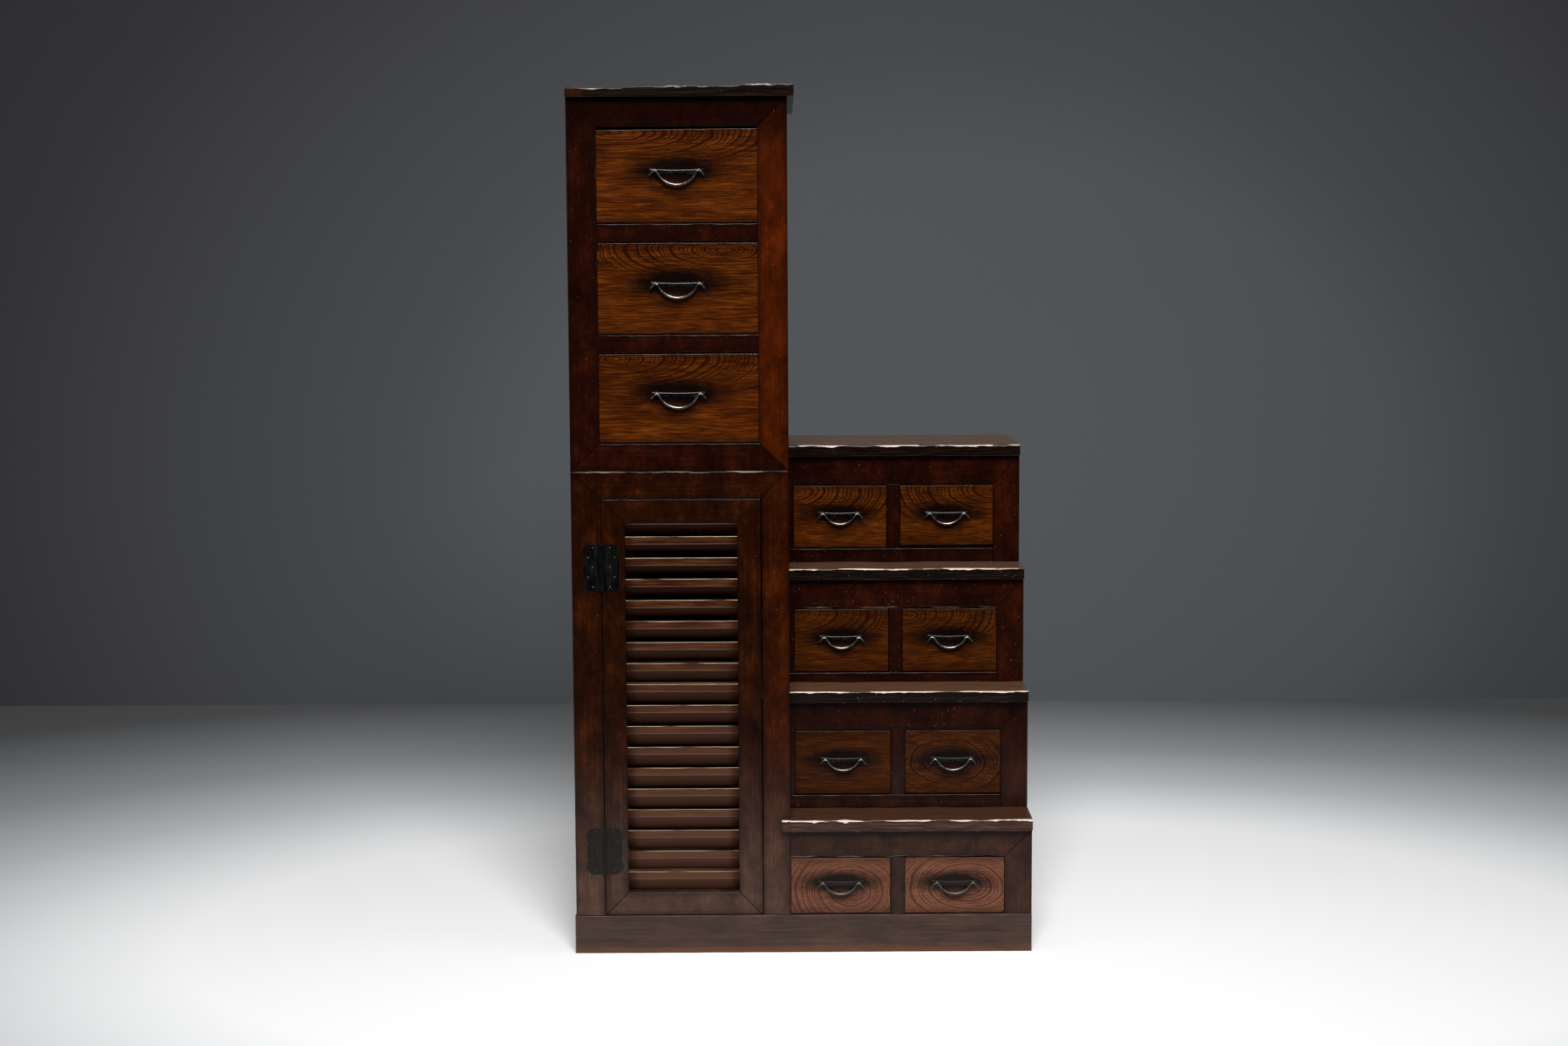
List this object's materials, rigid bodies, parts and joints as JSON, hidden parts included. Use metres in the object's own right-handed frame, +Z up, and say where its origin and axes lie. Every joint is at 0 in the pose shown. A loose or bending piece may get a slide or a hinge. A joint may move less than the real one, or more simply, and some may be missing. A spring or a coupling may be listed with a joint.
{
  "type": "step chest",
  "caption": "Stepped storage chest: a tall tower with a louvred cupboard under wide drawers, beside a stair of small-drawer blocks with thick treads, iron bail pulls and leaf hinges.",
  "frame": {"origin": "on the floor under the middle of the plinth's footprint", "axes": "+X to the right along the front, +Y from the front to the back, +Z up"},
  "size_m": [0.909, 0.511, 1.714],
  "materials": {
    "frame_lacquer": "worn dark brown wiped lacquer",
    "tread_lacquer": "worn black-brown lacquer, pale on the arrises",
    "side_lacquer": "worn dark brown wiped lacquer",
    "tower_drawer_keyaki": "satin oiled elm",
    "step_drawer_keyaki": "satin oiled elm",
    "louvre_wood": "wiped reddish brown lacquer",
    "plinth_wood": "worn dark brown",
    "inner_softwood": "plain planed softwood",
    "wrought_iron": "blackened wrought iron"
  },
  "bodies": {
    "case": {"plinth": "plinth_wood", "cupboard_side_panels": "side_lacquer", "cupboard_floor_and_ceiling": "inner_softwood", "cupboard_back_panel": "inner_softwood", "cupboard_shelf": "inner_softwood", "cupboard_face_frame": "frame_lacquer", "hinge_case_leaves": "wrought_iron", "unit_side_panels": "side_lacquer", "unit_back_panel": "inner_softwood", "unit_dust_boards": "inner_softwood", "unit_face_frame": "frame_lacquer", "unit_top_board": "tread_lacquer", "step_1_case": "side_lacquer", "step_1_face_frame": "frame_lacquer", "step_1_tread": "tread_lacquer", "step_2_case": "side_lacquer", "step_2_face_frame": "frame_lacquer", "step_2_tread": "tread_lacquer", "step_3_case": "side_lacquer", "step_3_face_frame": "frame_lacquer", "step_3_tread": "tread_lacquer", "step_4_case": "side_lacquer", "step_4_face_frame": "frame_lacquer", "step_4_tread": "tread_lacquer"},
    "door": {"door_frame": "frame_lacquer", "door_louvre_slats": "louvre_wood", "hinge_door_leaves": "wrought_iron"},
    "bottom_drawer": {"bottom_drawer": "tower_drawer_keyaki", "bottom_drawer_pull_plate": "wrought_iron"},
    "bottom_drawer_bail": {"bottom_drawer_bail": "wrought_iron"},
    "middle_drawer": {"middle_drawer": "tower_drawer_keyaki", "middle_drawer_pull_plate": "wrought_iron"},
    "middle_drawer_bail": {"middle_drawer_bail": "wrought_iron"},
    "top_drawer": {"top_drawer": "tower_drawer_keyaki", "top_drawer_pull_plate": "wrought_iron"},
    "top_drawer_bail": {"top_drawer_bail": "wrought_iron"},
    "step_1_left_drawer": {"step_1_left_drawer": "step_drawer_keyaki", "step_1_left_drawer_pull_plate": "wrought_iron"},
    "step_1_left_drawer_bail": {"step_1_left_drawer_bail": "wrought_iron"},
    "step_1_right_drawer": {"step_1_right_drawer": "step_drawer_keyaki", "step_1_right_drawer_pull_plate": "wrought_iron"},
    "step_1_right_drawer_bail": {"step_1_right_drawer_bail": "wrought_iron"},
    "step_2_left_drawer": {"step_2_left_drawer": "step_drawer_keyaki", "step_2_left_drawer_pull_plate": "wrought_iron"},
    "step_2_left_drawer_bail": {"step_2_left_drawer_bail": "wrought_iron"},
    "step_2_right_drawer": {"step_2_right_drawer": "step_drawer_keyaki", "step_2_right_drawer_pull_plate": "wrought_iron"},
    "step_2_right_drawer_bail": {"step_2_right_drawer_bail": "wrought_iron"},
    "step_3_left_drawer": {"step_3_left_drawer": "step_drawer_keyaki", "step_3_left_drawer_pull_plate": "wrought_iron"},
    "step_3_left_drawer_bail": {"step_3_left_drawer_bail": "wrought_iron"},
    "step_3_right_drawer": {"step_3_right_drawer": "step_drawer_keyaki", "step_3_right_drawer_pull_plate": "wrought_iron"},
    "step_3_right_drawer_bail": {"step_3_right_drawer_bail": "wrought_iron"},
    "step_4_left_drawer": {"step_4_left_drawer": "step_drawer_keyaki", "step_4_left_drawer_pull_plate": "wrought_iron"},
    "step_4_left_drawer_bail": {"step_4_left_drawer_bail": "wrought_iron"},
    "step_4_right_drawer": {"step_4_right_drawer": "step_drawer_keyaki", "step_4_right_drawer_pull_plate": "wrought_iron"},
    "step_4_right_drawer_bail": {"step_4_right_drawer_bail": "wrought_iron"}
  },
  "joints": [
    {"name": "door_swing", "type": "hinge", "parent": "case", "child": "door", "pos_m": [-0.394, -0.2508, 0.2074], "axis": [0, 0, -1], "range_deg": [0, 175]},
    {"name": "bottom_drawer_slide", "type": "slide", "parent": "case", "child": "bottom_drawer", "axis": [0, -1, 0], "range_m": [0, 0.4]},
    {"name": "bottom_drawer_bail_swing", "type": "hinge", "parent": "bottom_drawer", "child": "bottom_drawer_bail", "pos_m": [-0.239, -0.254, 1.1161], "axis": [-1, 0, 0], "range_deg": [-10, 190]},
    {"name": "middle_drawer_slide", "type": "slide", "parent": "case", "child": "middle_drawer", "axis": [0, -1, 0], "range_m": [0, 0.4]},
    {"name": "middle_drawer_bail_swing", "type": "hinge", "parent": "middle_drawer", "child": "middle_drawer_bail", "pos_m": [-0.239, -0.254, 1.3296], "axis": [-1, 0, 0], "range_deg": [-10, 190]},
    {"name": "top_drawer_slide", "type": "slide", "parent": "case", "child": "top_drawer", "axis": [0, -1, 0], "range_m": [0, 0.4]},
    {"name": "top_drawer_bail_swing", "type": "hinge", "parent": "top_drawer", "child": "top_drawer_bail", "pos_m": [-0.239, -0.254, 1.54735], "axis": [-1, 0, 0], "range_deg": [-10, 190]},
    {"name": "step_1_left_drawer_slide", "type": "slide", "parent": "case", "child": "step_1_left_drawer", "axis": [0, -1, 0], "range_m": [0, 0.4]},
    {"name": "step_1_left_drawer_bail_swing", "type": "hinge", "parent": "step_1_left_drawer", "child": "step_1_left_drawer_bail", "pos_m": [0.07412, -0.254, 0.14005], "axis": [-1, 0, 0], "range_deg": [-10, 190]},
    {"name": "step_1_right_drawer_slide", "type": "slide", "parent": "case", "child": "step_1_right_drawer", "axis": [0, -1, 0], "range_m": [0, 0.4]},
    {"name": "step_1_right_drawer_bail_swing", "type": "hinge", "parent": "step_1_right_drawer", "child": "step_1_right_drawer_bail", "pos_m": [0.30088, -0.254, 0.14005], "axis": [-1, 0, 0], "range_deg": [-10, 190]},
    {"name": "step_2_left_drawer_slide", "type": "slide", "parent": "case", "child": "step_2_left_drawer", "axis": [0, -1, 0], "range_m": [0, 0.315]},
    {"name": "step_2_left_drawer_bail_swing", "type": "hinge", "parent": "step_2_left_drawer", "child": "step_2_left_drawer_bail", "pos_m": [0.08163, -0.169, 0.36955], "axis": [-1, 0, 0], "range_deg": [-10, 190]},
    {"name": "step_2_right_drawer_slide", "type": "slide", "parent": "case", "child": "step_2_right_drawer", "axis": [0, -1, 0], "range_m": [0, 0.315]},
    {"name": "step_2_right_drawer_bail_swing", "type": "hinge", "parent": "step_2_right_drawer", "child": "step_2_right_drawer_bail", "pos_m": [0.30338, -0.169, 0.36955], "axis": [-1, 0, 0], "range_deg": [-10, 190]},
    {"name": "step_3_left_drawer_slide", "type": "slide", "parent": "case", "child": "step_3_left_drawer", "axis": [0, -1, 0], "range_m": [0, 0.23]},
    {"name": "step_3_left_drawer_bail_swing", "type": "hinge", "parent": "step_3_left_drawer", "child": "step_3_left_drawer_bail", "pos_m": [0.08163, -0.084, 0.60355], "axis": [-1, 0, 0], "range_deg": [-10, 190]},
    {"name": "step_3_right_drawer_slide", "type": "slide", "parent": "case", "child": "step_3_right_drawer", "axis": [0, -1, 0], "range_m": [0, 0.23]},
    {"name": "step_3_right_drawer_bail_swing", "type": "hinge", "parent": "step_3_right_drawer", "child": "step_3_right_drawer_bail", "pos_m": [0.30338, -0.084, 0.60355], "axis": [-1, 0, 0], "range_deg": [-10, 190]},
    {"name": "step_4_left_drawer_slide", "type": "slide", "parent": "case", "child": "step_4_left_drawer", "axis": [0, -1, 0], "range_m": [0, 0.16]},
    {"name": "step_4_left_drawer_bail_swing", "type": "hinge", "parent": "step_4_left_drawer", "child": "step_4_left_drawer_bail", "pos_m": [0.08163, 0.001, 0.84855], "axis": [-1, 0, 0], "range_deg": [-10, 190]},
    {"name": "step_4_right_drawer_slide", "type": "slide", "parent": "case", "child": "step_4_right_drawer", "axis": [0, -1, 0], "range_m": [0, 0.16]},
    {"name": "step_4_right_drawer_bail_swing", "type": "hinge", "parent": "step_4_right_drawer", "child": "step_4_right_drawer_bail", "pos_m": [0.30338, 0.001, 0.84855], "axis": [-1, 0, 0], "range_deg": [-10, 190]}
  ]
}
